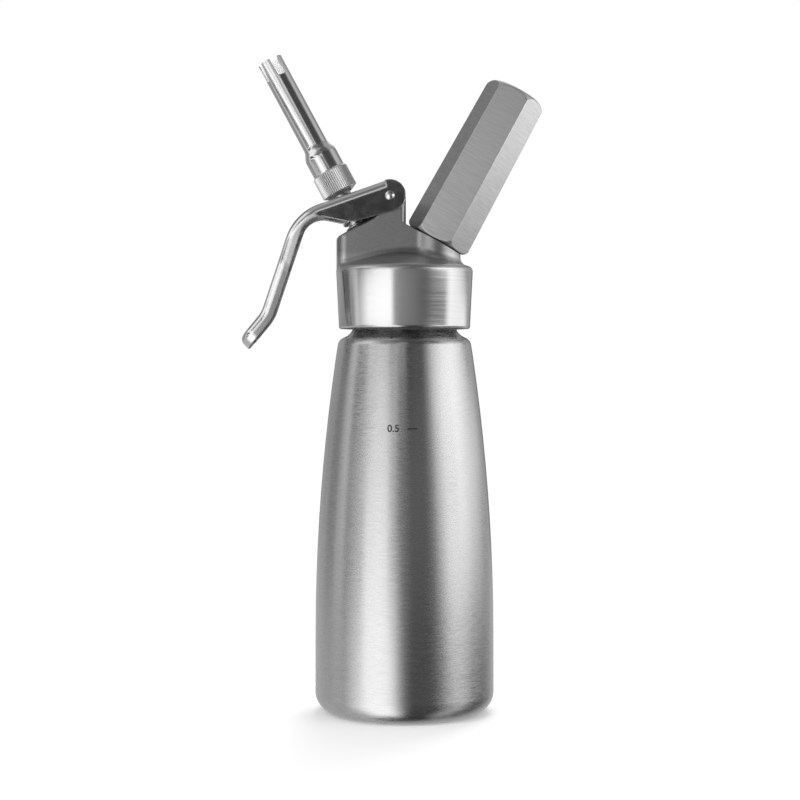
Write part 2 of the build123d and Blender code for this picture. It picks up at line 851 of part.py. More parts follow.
# Lever pin: riveted pin with a domed head at each end
head_base = lever_width / 2 + pin_head_gap
head_tip = head_base + pin_head_height
pin_section = Plane((pivot.X, 0, pivot.Y), x_dir=(1, 0, 0), z_dir=(0, 0, 1))
with BuildPart() as lever_pin:
    with BuildSketch(pin_section):
        with BuildLine():
            TangentArc((0, -head_tip), (pin_head_diameter / 2, -head_base), tangent=(1, 0))
            Polyline(
                (pin_head_diameter / 2, -head_base),
                (pin_diameter / 2, -head_base),
                (pin_diameter / 2, head_base),
                (pin_head_diameter / 2, head_base),
            )
            TangentArc((0, head_tip), (pin_head_diameter / 2, head_base), tangent=(1, 0))
            Line((0, head_tip), (0, -head_tip))
        make_face()
    revolve(axis=Axis((pivot.X, 0, pivot.Y), (0, 1, 0)))
write(lever_pin.part, "lever_pin")

# Check valve: flap over the gas passage, so that the gas can't leave by the inlet
with BuildPart() as check_valve:
    with BuildSketch(charger_frame.offset(check_seat - flap_thickness)):
        Circle(flap_diameter / 2)
    extrude(amount=flap_thickness)
write(check_valve.part, "check_valve")

# Inlet retainer: holed plug that keeps the flap in its chamber
with BuildPart() as inlet_retainer:
    with BuildSketch(charger_frame.offset(retainer_bottom)):
        Circle(retainer_radius)
        with PolarLocations(retainer_hole_circle / 2, retainer_holes):
            Circle(retainer_hole_diameter / 2, mode=Mode.SUBTRACT)
    extrude(amount=retainer_thickness)
write(inlet_retainer.part, "inlet_retainer")

# Piercing pin: hollow needle on a flange, screwed into the inlet
needle_top = flange_top + needle_length
pin_body_radius = pin_body_diameter / 2
with BuildPart() as piercing_pin:
    revolve(
        outline(
            charger_section,
            (needle_bore_diameter / 2, pin_bottom),
            (pin_body_radius, pin_bottom),
            (pin_body_radius, flange_bottom),
            (cup_radius - press_gap, flange_bottom),
            (cup_radius - press_gap, flange_top),
            (needle_diameter / 2, flange_top),
            (needle_diameter / 2, needle_top - needle_cone_length),
            (needle_tip_diameter / 2, needle_top),
            (needle_bore_diameter / 2, needle_top),
        ),
        axis=charger_line,
    )
write(piercing_pin.part, "piercing_pin")

# Pin O-ring: under the flange of the piercing pin
pin_ring_radius = (cup_radius - pin_body_radius) / 2 - press_gap
with BuildPart() as pin_o_ring:
    with BuildSketch(charger_section):
        with Locations(((cup_radius + pin_body_radius) / 2, cup_floor + pin_ring_section / 2)):
            Circle(pin_ring_radius)
    revolve(axis=charger_line)
write(pin_o_ring.part, "pin_o_ring")

# Charger seal: the charger's mouth is pressed against it
with BuildPart() as charger_seal:
    revolve(
        ring_section(
            charger_section,
            needle_diameter / 2 + press_gap,
            cup_radius - press_gap,
            flange_top,
            charger_seat,
        ),
        axis=charger_line,
    )
write(charger_seal.part, "charger_seal")

# Charger holder: drafted hexagonal bar with turned ends, bored for the charger and threaded on the stub
holder_length = holder_top - holder_bottom
seat_flat_radius = holder_across_flats / 2
top_flat_radius = seat_flat_radius - holder_length * tan(radians(holder_draft))
with BuildPart() as charger_holder:
    with BuildSketch(charger_frame.offset(holder_bottom)):
        RegularPolygon(seat_flat_radius, 6, major_radius=False, rotation=-holder_turn)
    extrude(amount=holder_length, taper=holder_draft)
    fillet(charger_holder.edges().filter_by(lambda edge: edge.length > holder_length), holder_ridge_round)
    with BuildSketch(charger_section):
        with BuildLine():
            FilletPolyline(
                (0, holder_bottom),
                (seat_flat_radius / cos(pi / 6) + holder_blank_margin, holder_bottom),
                (top_flat_radius / cos(pi / 6) + holder_blank_margin, holder_top),
                (0, holder_top),
                radius=[0, holder_seat_round, holder_top_round, 0],
                close=True,
            )
        make_face()
    revolve(axis=charger_line, mode=Mode.INTERSECT)
    revolve(
        outline(
            charger_section,
            (0, holder_bottom - stub_length),
            (stub_radius + thread_gap, holder_bottom - stub_length),
            (stub_radius + thread_gap, thread_end),
            (bay_radius, thread_end),
            (bay_radius, bay_end),
            (0, bay_end),
        ),
        axis=charger_line,
        mode=Mode.SUBTRACT,
    )
write(charger_holder.part, "charger_holder")
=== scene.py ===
"""Looks of the cream whipper: its finishes, threads, spring and fill mark, and the studio that it stands in.

Every size is in millimetres in the fields below and becomes metres where a mesh or a node needs it.
"""

from __future__ import annotations

import json
import logging
import math
from dataclasses import dataclass
from enum import Enum

import bmesh
import bpy
from mathutils import Matrix, Vector

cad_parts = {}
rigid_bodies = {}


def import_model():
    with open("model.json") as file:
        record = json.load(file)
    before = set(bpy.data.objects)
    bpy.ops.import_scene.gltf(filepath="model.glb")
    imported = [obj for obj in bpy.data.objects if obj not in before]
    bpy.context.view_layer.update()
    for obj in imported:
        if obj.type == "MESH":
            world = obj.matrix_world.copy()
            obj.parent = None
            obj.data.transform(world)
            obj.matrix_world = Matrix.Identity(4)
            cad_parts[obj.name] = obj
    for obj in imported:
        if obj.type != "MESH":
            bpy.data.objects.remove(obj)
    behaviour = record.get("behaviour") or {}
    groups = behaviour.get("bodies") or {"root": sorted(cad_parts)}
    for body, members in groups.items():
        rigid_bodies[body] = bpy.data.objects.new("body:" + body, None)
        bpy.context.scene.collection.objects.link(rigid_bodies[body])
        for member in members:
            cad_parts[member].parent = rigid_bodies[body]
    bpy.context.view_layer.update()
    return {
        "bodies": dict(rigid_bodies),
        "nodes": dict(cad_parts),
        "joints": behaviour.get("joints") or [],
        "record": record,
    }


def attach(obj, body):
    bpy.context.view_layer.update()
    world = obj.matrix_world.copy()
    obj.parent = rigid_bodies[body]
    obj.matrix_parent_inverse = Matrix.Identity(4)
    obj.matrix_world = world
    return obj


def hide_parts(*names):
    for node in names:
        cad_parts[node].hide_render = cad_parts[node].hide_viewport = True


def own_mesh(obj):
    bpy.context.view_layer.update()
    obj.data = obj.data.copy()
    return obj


log = logging.getLogger("cream_whipper")

Tree = bpy.types.NodeTree
Node = bpy.types.Node
Socket = bpy.types.NodeSocket

# Metres in a millimetre
MM = 0.001
# Width and height of the picture
PIXELS = 800
# Most values of a noise texture lie between these two
NOISE_LOW = 0.3
NOISE_HIGH = 0.7
# Corners nearer than this become one, and edges that turn by more degrees than this stay sharp
WELD = 0.0001
SHARP_ANGLE = 35.0


def linear(colour: str) -> tuple[float, float, float, float]:
    """Turns an sRGB hex colour into linear values.

    Args:
        colour: colour as "#RRGGBB".

    Returns:
        Linear red, green, blue and an alpha of 1.
    """
    shares = [int(colour[i : i + 2], 16) / 255 for i in (1, 3, 5)]
    red, green, blue = (c / 12.92 if c <= 0.04045 else ((c + 0.055) / 1.055) ** 2.4 for c in shares)
    return red, green, blue, 1.0


def add_node(tree: Tree, kind: str, sockets: dict | None = None, **settings) -> Node:
    """Adds a node, sets its properties and fills or links its inputs.

    Args:
        tree: node tree that gets the node.
        kind: Blender's name of the node.
        sockets: input name or number to a value, or to the output socket that feeds it.
        settings: properties of the node.

    Returns:
        The new node.
    """
    node = tree.nodes.new(kind)
    for name, value in settings.items():
        setattr(node, name, value)
    for key, value in (sockets or {}).items():
        if isinstance(value, Socket):
            tree.links.new(value, node.inputs[key])
        else:
            node.inputs[key].default_value = value
    return node


class Axis(Enum):
    """The axes that the turned pieces lie on: height above the base, and degrees of lean towards +X."""

    BOTTLE = (0.0, 0.0)
    VALVE = (172.4952, -28.3)
    CHARGER = (177.9952, 28.7)

    def matrix(self) -> Matrix:
        """Returns the frame of the axis in metres, with its Z along the axis."""
        height, lean = self.value
        return Matrix.Translation((0, 0, height * MM)) @ Matrix.Rotation(math.radians(lean), 4, "Y")

    def direction(self) -> Vector:
        """Returns the direction of the axis, away from the bottle."""
        return self.matrix().to_3x3() @ Vector((0, 0, 1))

    def place(self, tree: Tree, scale: tuple[float, float, float] = (1.0, 1.0, 1.0)) -> Socket:
        """Gives a piece's own coordinates in the frame of the axis.

        Args:
            tree: node tree of the material.
            scale: metres that count as one, twice across the axis and then along it.

        Returns:
            The coordinates.
        """
        height, lean = self.value
        own = add_node(tree, "ShaderNodeTexCoord")
        turned = add_node(
            tree,
            "ShaderNodeMapping",
            {
                "Vector": own.outputs["Object"],
                "Location": (0, 0, height * MM),
                "Rotation": (0, math.radians(lean), 0),
                "Scale": scale,
            },
            vector_type="TEXTURE",
        )
        return turned.outputs["Vector"]


@dataclass(frozen=True)
class Finish:
    """A surface as it left its last workshop step: colour, gloss, and the marks that the step leaves."""

    name: str
    colour: str
    roughness: float
    metallic: float = 1.0
    edge: float = 0.2

    def material(self) -> bpy.types.Material:
        """Returns the finish as a material, made once."""
        known = bpy.data.materials.get(self.name)
        if known is not None:
            return known
        material = bpy.data.materials.new(self.name)
        material.use_nodes = True
        tree = material.node_tree
        tree.nodes.clear()
        broken = add_node(tree, "ShaderNodeBevel", {"Radius": self.edge * MM})
        plain = {"Base Color": linear(self.colour), "Roughness": self.roughness, "Metallic": self.metallic}
        marked = self.marks(tree, broken.outputs["Normal"])
        shader = add_node(tree, "ShaderNodeBsdfPrincipled", plain | marked)
        add_node(tree, "ShaderNodeOutputMaterial", {"Surface": shader.outputs["BSDF"]})
        return material

    def marks(self, tree: Tree, edges: Socket) -> dict[str, float | Socket]:
        """Draws the marks of the last workshop step. A plain finish has only its edges.

        Args:
            tree: node tree of the material.
            edges: normal that is rounded at the edges.

        Returns:
            Inputs of the shader that the marks feed.
        """
        return {"Normal": edges}


@dataclass(frozen=True)
class LinedMetal(Finish):
    """Metal that was brushed or turned round an axis: fine rings that smear a reflection along that axis.

    The real scratches are a few hundredths of a millimetre apart, which no render of this size can show, so
    they are drawn about as far apart as a pixel is wide.
    """

    dull: str = "#B4B4B4"
    axis: Axis = Axis.BOTTLE
    spacing: float = 0.45
    length: float = 4.0
    depth: float = 0.001
    spread: float = 0.04
    smear: float = 0.85

    def marks(self, tree: Tree, edges: Socket) -> dict[str, float | Socket]:
        """Draws rings of scratches in the colour, gloss and relief, and smears reflections across them.

        Args:
            tree: node tree of the material.
            edges: normal that is rounded at the edges.

        Returns:
            Inputs of the shader that the marks feed.
        """
        along = add_node(
            tree,
            "ShaderNodeVectorTransform",
            {"Vector": self.axis.direction()},
            vector_type="VECTOR",
            convert_from="OBJECT",
            convert_to="WORLD",
        )
        rings = self.axis.place(tree, (self.length * MM, self.length * MM, self.spacing * MM))
        scratch = add_node(
            tree,
            "ShaderNodeTexNoise",
            {"Vector": rings, "Scale": 1.0, "Detail": 2.0, "Roughness": 0.6},
        )
        gloss = add_node(
            tree,
            "ShaderNodeMapRange",
            {
                "Value": scratch.outputs["Fac"],
                "From Min": NOISE_LOW,
                "From Max": NOISE_HIGH,
                "To Min": self.roughness - self.spread,
                "To Max": self.roughness + self.spread,
            },
        )
        tint = add_node(
            tree,
            "ShaderNodeMix",
            {0: scratch.outputs["Fac"], 6: linear(self.dull), 7: linear(self.colour)},
            data_type="RGBA",
        )
        relief = add_node(
            tree,
            "ShaderNodeBump",
            {"Height": scratch.outputs["Fac"], "Distance": self.depth * MM, "Normal": edges},
        )
        return {
            "Base Color": tint.outputs[2],
            "Roughness": gloss.outputs["Result"],
            "Normal": relief.outputs["Normal"],
            "Anisotropic": self.smear,
            "Tangent": along.outputs["Vector"],
        }


@dataclass(frozen=True)
class DrawnBottle(LinedMetal):
    """A brushed bottle with a rolled neck, which the brush didn't reach: smooth, under a pale matt skin."""

    neck_height: float = 165.0
    neck_fade: float = 1.5
    neck_roughness: float = 0.3
    neck_metallic: float = 0.5

    def marks(self, tree: Tree, edges: Socket) -> dict[str, float | Socket]:
        """Draws the brushed rings, and smooths the neck.

        Args:
            tree: node tree of the material.
            edges: normal that is rounded at the edges.

        Returns:
            Inputs of the shader that the marks feed.
        """
        marked = super().marks(tree, edges)
        place = add_node(tree, "ShaderNodeTexCoord")
        parts = add_node(tree, "ShaderNodeSeparateXYZ", {"Vector": place.outputs["Object"]})
        smooth: dict[str, Socket] = {}
        for name, below, above in (
            ("Roughness", marked["Roughness"], self.neck_roughness),
            ("Metallic", self.metallic, self.neck_metallic),
            ("Distance", self.depth * MM, 0.0),
        ):
            fade = add_node(
                tree,
                "ShaderNodeMapRange",
                {
                    "Value": parts.outputs["Z"],
                    "From Min": (self.neck_height - self.neck_fade) * MM,
                    "From Max": (self.neck_height + self.neck_fade) * MM,
                    "To Min": below,
                    "To Max": above,
                },
            )
            smooth[name] = fade.outputs["Result"]
        relief = marked["Normal"].node
        tree.links.new(smooth.pop("Distance"), relief.inputs["Distance"])
        return marked | smooth


@dataclass(frozen=True)
class BlastedCasting(Finish):
    """Cast aluminium: a turned collar, a blasted crown above it, and a darker blasted skin on the bosses.

    The real bead marks and lathe rings are about a tenth of a millimetre apart, which no render of this size
    can show, so they are drawn about as far apart as a pixel is wide. The swell is the slow unevenness of a
    cast skin.
    """

    dull: str = "#BEBEBE"
    skin: str = "#C2C2C2"
    skin_dull: str = "#8A8A8A"
    skin_height: float = 196.5
    skin_fade: float = 1.5
    collar_height: float = 189.6
    collar_fade: float = 0.8
    collar_roughness: float = 0.13
    grain: float = 0.55
    grain_depth: float = 0.012
    grain_spread: float = 0.03
    ring_spacing: float = 0.42
    ring_length: float = 30.0
    ring_depth: float = 0.0001
    swell: float = 16.0
    swell_depth: float = 0.3

    def marks(self, tree: Tree, edges: Socket) -> dict[str, float | Socket]:
        """Draws the lathe's rings on the collar, and the blasted grain and the casting's swell above it.

        Args:
            tree: node tree of the material.
            edges: normal that is rounded at the edges.

        Returns:
            Inputs of the shader that the marks feed.
        """
        place = add_node(tree, "ShaderNodeTexCoord")
        parts = add_node(tree, "ShaderNodeSeparateXYZ", {"Vector": place.outputs["Object"]})
        crown = add_node(
            tree,
            "ShaderNodeMapRange",
            {
                "Value": parts.outputs["Z"],
                "From Min": (self.collar_height - self.collar_fade) * MM,
                "From Max": (self.collar_height + self.collar_fade) * MM,
            },
        )
        above = crown.outputs["Result"]
        bosses = add_node(
            tree,
            "ShaderNodeMapRange",
            {
                "Value": parts.outputs["Z"],
                "From Min": (self.skin_height - self.skin_fade) * MM,
                "From Max": (self.skin_height + self.skin_fade) * MM,
            },
        )
        beads = add_node(
            tree,
            "ShaderNodeTexNoise",
            {
                "Vector": place.outputs["Object"],
                "Scale": 1 / (self.grain * MM),
                "Detail": 3.0,
                "Roughness": 0.6,
            },
        )
        rings = Axis.BOTTLE.place(
            tree, (self.ring_length * MM, self.ring_length * MM, self.ring_spacing * MM)
        )
        lathe = add_node(
            tree,
            "ShaderNodeTexNoise",
            {"Vector": rings, "Scale": 1.0, "Detail": 3.0, "Roughness": 0.6},
        )
        pits = add_node(
            tree,
            "ShaderNodeMapRange",
            {"Value": above, "To Min": lathe.outputs["Fac"], "To Max": beads.outputs["Fac"]},
        )
        depth = add_node(
            tree,
            "ShaderNodeMapRange",
            {"Value": above, "To Min": self.ring_depth * MM, "To Max": self.grain_depth * MM},
        )
        gloss = add_node(
            tree,
            "ShaderNodeMapRange",
            {"Value": above, "To Min": self.collar_roughness, "To Max": self.roughness},
        )
        uneven = add_node(
            tree,
            "ShaderNodeMapRange",
            {
                "Value": pits.outputs["Result"],
                "From Min": NOISE_LOW,
                "From Max": NOISE_HIGH,
                "To Min": -self.grain_spread,
                "To Max": self.grain_spread,
            },
        )
        rough = add_node(
            tree,
            "ShaderNodeMath",
            {0: gloss.outputs["Result"], 1: uneven.outputs["Result"]},
            operation="ADD",
        )
        turned = add_node(
            tree,
            "ShaderNodeMix",
            {0: lathe.outputs["Fac"], 6: linear(self.dull), 7: linear(self.colour)},
            data_type="RGBA",
        )
        blasted = add_node(
            tree,
            "ShaderNodeMix",
            {0: beads.outputs["Fac"], 6: linear(self.skin_dull), 7: linear(self.skin)},
            data_type="RGBA",
        )
        tint = add_node(
            tree,
            "ShaderNodeMix",
            {0: bosses.outputs["Result"], 6: turned.outputs[2], 7: blasted.outputs[2]},
            data_type="RGBA",
        )
        waves = add_node(
            tree,
            "ShaderNodeTexNoise",
            {"Vector": place.outputs["Object"], "Scale": 1 / (self.swell * MM), "Detail": 2.0},
        )
        swell = add_node(tree, "ShaderNodeMapRange", {"Value": above, "To Max": self.swell_depth * MM})
        cast = add_node(
            tree,
            "ShaderNodeBump",
            {"Height": waves.outputs["Fac"], "Distance": swell.outputs["Result"], "Normal": edges},
        )
        relief = add_node(
            tree,
            "ShaderNodeBump",
            {
                "Height": pits.outputs["Result"],
                "Distance": depth.outputs["Result"],
                "Normal": cast.outputs["Normal"],
            },
        )
        return {
            "Base Color": tint.outputs[2],
            "Roughness": rough.outputs["Value"],
            "Normal": relief.outputs["Normal"],
        }


@dataclass(frozen=True)
class PolishedMetal(Finish):
    """Buffed or finely turned metal: a clear reflection, bent by shallow waves and dulled in wipe marks."""

    haze: float = 0.05
    wipe: float = 5.0
    wipe_curl: float = 0.8
    wipe_start: float = 0.35
    wave: float = 9.0
    wave_depth: float = 0.012

    def marks(self, tree: Tree, edges: Socket) -> dict[str, float | Socket]:
        """Draws wipe marks in the gloss and shallow waves in the relief.

        Args:
            tree: node tree of the material.
            edges: normal that is rounded at the edges.

        Returns:
            Inputs of the shader that the marks feed.
        """
        place = add_node(tree, "ShaderNodeTexCoord")
        wipes = add_node(
            tree,
            "ShaderNodeTexNoise",
            {
                "Vector": place.outputs["Object"],
                "Scale": 1 / (self.wipe * MM),
                "Detail": 6.0,
                "Distortion": self.wipe_curl,
            },
        )
        gloss = add_node(
            tree,
            "ShaderNodeMapRange",
            {
                "Value": wipes.outputs["Fac"],
                "From Min": self.wipe_start,
                "From Max": NOISE_HIGH,
                "To Min": self.roughness,
                "To Max": self.roughness + self.haze,
            },
        )
        waves = add_node(
            tree,
            "ShaderNodeTexNoise",
            {"Vector": place.outputs["Object"], "Scale": 1 / (self.wave * MM), "Detail": 1.0},
        )
        relief = add_node(
            tree,
            "ShaderNodeBump",
            {"Height": waves.outputs["Fac"], "Distance": self.wave_depth * MM, "Normal": edges},
        )
        return {"Roughness": gloss.outputs["Result"], "Normal": relief.outputs["Normal"]}


@dataclass(frozen=True)
class PolishedTube(PolishedMetal):
    """A tube that was buffed on the outside only: its bore is painted a dull near white, as painted light
    that stands in for the light seen through the slots.

    The ogee's foot and top are heights on the tube's axis. The mesh's flats lie inside the true radius by up
    to the mesh slack, and what rises by less than the least slope counts as straight.
    """

    axis: Axis = Axis.VALVE
    bore: float = 4.8
    bore_fade: float = 0.1
    bore_roughness: float = 0.9
    # Painted light: near white so that the bore reads as lit through the slots
    bore_painted_light: str = "#F4F4F4"
    bore_metallic: float = 0.0
    foot_radius: float = 7.15
    tube_radius: float = 5.45
    mesh_slack: float = 0.05
    ogee_foot: float = 75.64
    ogee_top: float = 81.84
    least_slope: float = 0.001

    def drawn_normal(self, tree: Tree, edges: Socket, place: Socket, flat: Socket, radius: Socket) -> Socket:
        """Works out the ogee's normal from its two arcs, because the mesh's triangles would show as teeth.

        Args:
            tree: node tree of the material.
            edges: normal that is rounded at the edges, kept everywhere else.
            place: coordinates in the frame of the tube's axis.
            flat: the same coordinates without the height.
            radius: distance from the axis.

        Returns:
            The normal in the world's frame.
        """
        half_height = (self.ogee_top - self.ogee_foot) / 2
        half_drop = (self.foot_radius - self.tube_radius) / 2
        steepest = math.tan(2 * math.atan2(half_drop, half_height))
        parts = add_node(tree, "ShaderNodeSeparateXYZ", {"Vector": place})
        lower = add_node(
            tree,
            "ShaderNodeMapRange",
            {
                "Value": parts.outputs["Z"],
                "From Min": self.ogee_foot * MM,
                "From Max": (self.ogee_foot + half_height) * MM,
                "To Max": steepest,
            },
        )
        slope = add_node(
            tree,
            "ShaderNodeMapRange",
            {
                "Value": parts.outputs["Z"],
                "From Min": (self.ogee_top - half_height) * MM,
                "From Max": self.ogee_top * MM,
                "To Min": lower.outputs["Result"],
                "To Max": 0.0,
            },
        )
        outwards = add_node(tree, "ShaderNodeVectorMath", {0: flat}, operation="NORMALIZE")
        upwards = add_node(tree, "ShaderNodeCombineXYZ", {"Z": slope.outputs["Result"]})
        leant = add_node(
            tree,
            "ShaderNodeVectorMath",
            {0: outwards.outputs["Vector"], 1: upwards.outputs["Vector"]},
            operation="ADD",
        )
        _, lean = self.axis.value
        turned = add_node(
            tree,
            "ShaderNodeMapping",
            {"Vector": leant.outputs["Vector"], "Rotation": (0, math.radians(lean), 0)},
            vector_type="VECTOR",
        )
        exact = add_node(
            tree,
            "ShaderNodeVectorTransform",
            {"Vector": turned.outputs["Vector"]},
            vector_type="NORMAL",
            convert_from="OBJECT",
            convert_to="WORLD",
        )
        on_skin = add_node(
            tree,
            "ShaderNodeMath",
            {0: radius, 1: (self.tube_radius - self.mesh_slack) * MM},
            operation="GREATER_THAN",
        )
        on_ogee = add_node(
            tree,
            "ShaderNodeMath",
            {0: slope.outputs["Result"], 1: self.least_slope},
            operation="GREATER_THAN",
        )
        share = add_node(
            tree,
            "ShaderNodeMath",
            {0: on_skin.outputs["Value"], 1: on_ogee.outputs["Value"]},
            operation="MULTIPLY",
        )
        normal = add_node(
            tree,
            "ShaderNodeMix",
            {0: share.outputs["Value"], 4: edges, 5: exact.outputs["Vector"]},
            data_type="VECTOR",
        )
        return normal.outputs[1]

    def marks(self, tree: Tree, edges: Socket) -> dict[str, float | Socket]:
        """Draws the polished marks, and paints the bore near the tube's axis a dull near white, as painted
        light seen through the slots.

        Args:
            tree: node tree of the material.
            edges: normal that is rounded at the edges.

        Returns:
            Inputs of the shader that the marks feed.
        """
        place = self.axis.place(tree)
        flat = add_node(tree, "ShaderNodeVectorMath", {0: place, 1: (1, 1, 0)}, operation="MULTIPLY")
        across = flat.outputs["Vector"]
        radius = add_node(tree, "ShaderNodeVectorMath", {0: across}, operation="LENGTH")
        distance = radius.outputs["Value"]
        marked = super().marks(tree, self.drawn_normal(tree, edges, place, across, distance))
        outside = add_node(
            tree,
            "ShaderNodeMapRange",
            {
                "Value": distance,
                "From Min": self.bore * MM,
                "From Max": (self.bore + self.bore_fade) * MM,
            },
        )
        share = outside.outputs["Result"]
        gloss = add_node(
            tree,
            "ShaderNodeMapRange",
            {"Value": share, "To Min": self.bore_roughness, "To Max": marked["Roughness"]},
        )
        metal = add_node(
            tree,
            "ShaderNodeMapRange",
            {"Value": share, "To Min": self.bore_metallic, "To Max": self.metallic},
        )
        # Painted light: the bore's near white stands in for the light that comes through the slots
        tint = add_node(
            tree,
            "ShaderNodeMix",
            {0: share, 6: linear(self.bore_painted_light), 7: linear(self.colour)},
            data_type="RGBA",
        )
        return marked | {
            "Base Color": tint.outputs[2],
            "Roughness": gloss.outputs["Result"],
            "Metallic": metal.outputs["Result"],
        }


@dataclass(frozen=True)
class Moulded(Finish):
    """A moulded or etched skin: a soft sheen over a faint grain, a little darker where the grain is deep.

    The real grain is finer than a pixel, so it is drawn about as coarse as a pixel is wide.
    """

    metallic: float = 0.0
    deep: str = "#101010"
    grain: float = 0.6
    grain_depth: float = 0.01

    def marks(self, tree: Tree, edges: Socket) -> dict[str, float | Socket]:
        """Draws the grain in the colour and the relief.

        Args:
            tree: node tree of the material.
            edges: normal that is rounded at the edges.

        Returns:
            Inputs of the shader that the marks feed.
        """
        place = add_node(tree, "ShaderNodeTexCoord")
        grain = add_node(
            tree,
            "ShaderNodeTexNoise",
            {"Vector": place.outputs["Object"], "Scale": 1 / (self.grain * MM), "Detail": 3.0},
        )
        tint = add_node(
            tree,
            "ShaderNodeMix",
            {0: grain.outputs["Fac"], 6: linear(self.deep), 7: linear(self.colour)},
            data_type="RGBA",
        )
        relief = add_node(
            tree,
            "ShaderNodeBump",
            {"Height": grain.outputs["Fac"], "Distance": self.grain_depth * MM, "Normal": edges},
        )
        return {"Base Color": tint.outputs[2], "Normal": relief.outputs["Normal"]}


# Brushed stainless sheet: rings of grain that stretch each highlight up and down the bottle
BOTTLE_STEEL = DrawnBottle("brushed_stainless", "#DCDCDC", 0.27, dull="#AEAEAE", depth=0.0006)
# Cast aluminium: an even grey satin above, and a smooth turned collar with clear bands of light
HEAD_ALUMINIUM = BlastedCasting("blasted_cast_aluminium", "#D4D4D4", 0.4, edge=0.4)
# Buffed stainless: near a mirror, so that it turns black and white with the room
LEVER_STEEL = PolishedMetal("polished_stainless", "#E0E0E0", 0.1, edge=0.7)
# The same stainless as a tube, with a bore painted near white behind the slots as painted light
TIP_STEEL = PolishedTube("polished_stainless_tube", "#E0E0E0", 0.15, edge=0.5)
# Turned stainless inside the valve: bright, with fine rings round the valve's axis
VALVE_STEEL = LinedMetal(
    "turned_stainless", "#C9C9C9", 0.24, axis=Axis.VALVE, spacing=0.3, length=12.0, depth=0.003
)
# Turned aluminium of the tip's ring: pale, with ridges that flash in turn
RING_ALUMINIUM = PolishedMetal("turned_aluminium", "#F0F0F0", 0.14, edge=0.06, wave_depth=0.002)
# Milled aluminium bar: satin flats with fine lines across the bar
HOLDER_ALUMINIUM = LinedMetal(
    "milled_aluminium",
    "#F2F2F2",
    0.32,
    dull="#BCBCBC",
    axis=Axis.CHARGER,
    spacing=0.45,
    length=7.0,
    smear=0.4,
    edge=0.5,
)
# Turned brass: warm, with rings round the charger's axis
INLET_BRASS = LinedMetal(
    "turned_brass", "#D8B874", 0.26, dull="#B4924E", axis=Axis.CHARGER, spacing=0.3, length=8.0, depth=0.003
)
# Natural acetal: milky white with a waxy sheen
BUSH_ACETAL = Moulded("natural_acetal", "#ECEAE4", 0.38, deep="#DDDAD2")
# Food grade silicone: pale and soft, almost without gloss
SEAL_SILICONE = Moulded("clear_silicone", "#D9D8D3", 0.52, deep="#C4C3BE")
# Black seal rubber: dark with a dull sheen
SEAL_RUBBER = Moulded("nitrile_rubber", "#1E1E1F", 0.6, deep="#0F0F10")
# Laser-etched steel: the heat leaves a dark grey, dull skin
ETCHED_STEEL = Moulded(
    "etched_steel", "#3C3C3C", 0.6, metallic=0.3, deep="#262626", grain=0.35, grain_depth=0.004
)


def shown(mesh: bmesh.types.BMesh, name: str, finish: Finish, body: str) -> bpy.types.Object:
    """Makes a finished mesh a piece of the object.

    Args:
        mesh: mesh in its place, in metres.
        name: name of the piece.
        finish: finish that it gets.
        body: CAD body that it rides on.

    Returns:
        The piece.
    """
    bmesh.ops.remove_doubles(mesh, verts=mesh.verts, dist=WELD * MM)
    bmesh.ops.recalc_face_normals(mesh, faces=mesh.faces)
    data = bpy.data.meshes.new(name)
    mesh.to_mesh(data)
    mesh.free()
    data.shade_smooth()
    data.set_sharp_from_angle(angle=math.radians(SHARP_ANGLE))
    data.materials.append(finish.material())
    piece = bpy.data.objects.new(name, data)
    bpy.context.scene.collection.objects.link(piece)
    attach(piece, body)
    log.info("%s: %d faces, rides on %s", name, len(data.polygons), body)
    return piece


def dress(nodes: dict[str, bpy.types.Object], finish: Finish, *names: str) -> None:
    """Gives CAD nodes a finish.

    Args:
        nodes: the frame's nodes.
        finish: finish that they get.
        names: nodes to dress.
    """
    for name in names:
        slots = nodes[name].data.materials
        slots.clear()
        slots.append(finish.material())
        log.info("%s: %s", name, finish.name)


@dataclass(frozen=True)
class ScrewThread:
    """One start of a screw thread: a ridge that is wound round a smooth CAD shank.

    It is sunk a little into the shank. Its two ends are pressed down until they are just below the skin.
    """

    name: str
    axis: Axis
    shank: float
    start: float
    turns: float
    lead: float
    height: float
    root: float
    crest: float
    steps: int
    sunk: float = 0.15
    end_sunk: float = 0.05

    def build(self, finish: Finish, body: str, slot: str) -> None:
        """Winds the ridge and shows it.

        Args:
            finish: finish of the thread.
            body: CAD body that it rides on.
            slot: not used.
        """
        mesh = bmesh.new()
        profile = [
            (self.shank - self.sunk, -self.root / 2),
            (self.shank, -self.root / 2),
            (self.shank + self.height, -self.crest / 2),
            (self.shank + self.height, self.crest / 2),
            (self.shank, self.root / 2),
            (self.shank - self.sunk, self.root / 2),
        ]
        ring = [mesh.verts.new((r * MM, 0, (self.start + z) * MM)) for r, z in profile]
        edges = [mesh.edges.new(pair) for pair in zip(ring, ring[1:] + ring[:1])]
        count = round(self.turns * self.steps)
        bmesh.ops.spin(
            mesh,
            geom=ring + edges,
            cent=(0, 0, 0),
            axis=(0, 0, 1),
            dvec=(0, 0, self.turns * self.lead * MM / count),
            angle=math.tau * self.turns,
            steps=count,
        )
        open_edges = [edge for edge in mesh.edges if edge.is_boundary]
        for vert in {vert for edge in open_edges for vert in edge.verts}:
            across = Vector((vert.co.x, vert.co.y, 0))
            vert.co -= across * max(0.0, 1 - (self.shank - self.end_sunk) * MM / across.length)
        bmesh.ops.holes_fill(mesh, edges=open_edges)
        bmesh.ops.transform(mesh, matrix=self.axis.matrix(), verts=mesh.verts)
        shown(mesh, self.name, finish, body)


